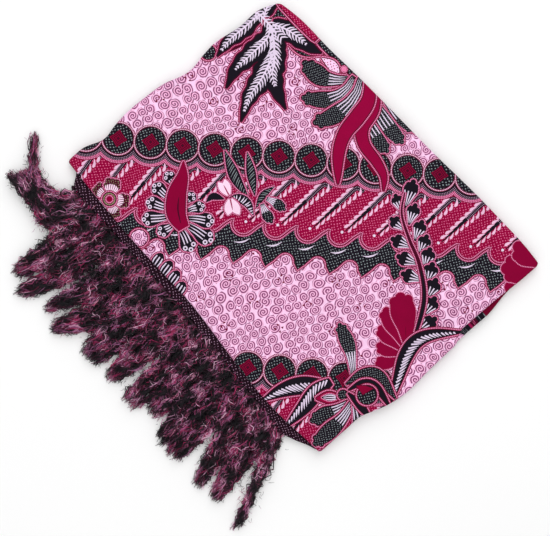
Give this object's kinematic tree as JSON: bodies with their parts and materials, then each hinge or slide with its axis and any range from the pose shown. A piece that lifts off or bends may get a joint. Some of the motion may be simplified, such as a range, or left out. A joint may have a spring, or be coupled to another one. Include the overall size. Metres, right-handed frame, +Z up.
{
  "type": "folded batik sarong",
  "caption": "Fringed wax-print sarong folded into a flat rectangular stack of thin layers, its twisted yarn fringe spread out along one side.",
  "frame": {"origin": "centre of the folded rectangle's flat underside, fringe and hem left out of the count", "axes": "+Z up from the surface it lies on; -X towards the fringe, +X towards the side of the last folds; +Y along the hem towards the corner where two tufts of the fringe turn up"},
  "size_m": [0.4124, 0.426, 0.0143],
  "materials": {
    "batik_cloth": "fine plain-weave rayon with a wax-print in lilac pink, crimson, black and white, soft low sheen",
    "fringe_yarn": "heathered black, maroon and pink twisted rayon yarn, matte and hairy"
  },
  "bodies": {
    "root": {"top_panel": "batik_cloth", "hidden_layers": "batik_cloth", "fringe_lower": "fringe_yarn", "fringe_middle": "fringe_yarn", "fringe_upper": "fringe_yarn"}
  },
  "joints": []
}
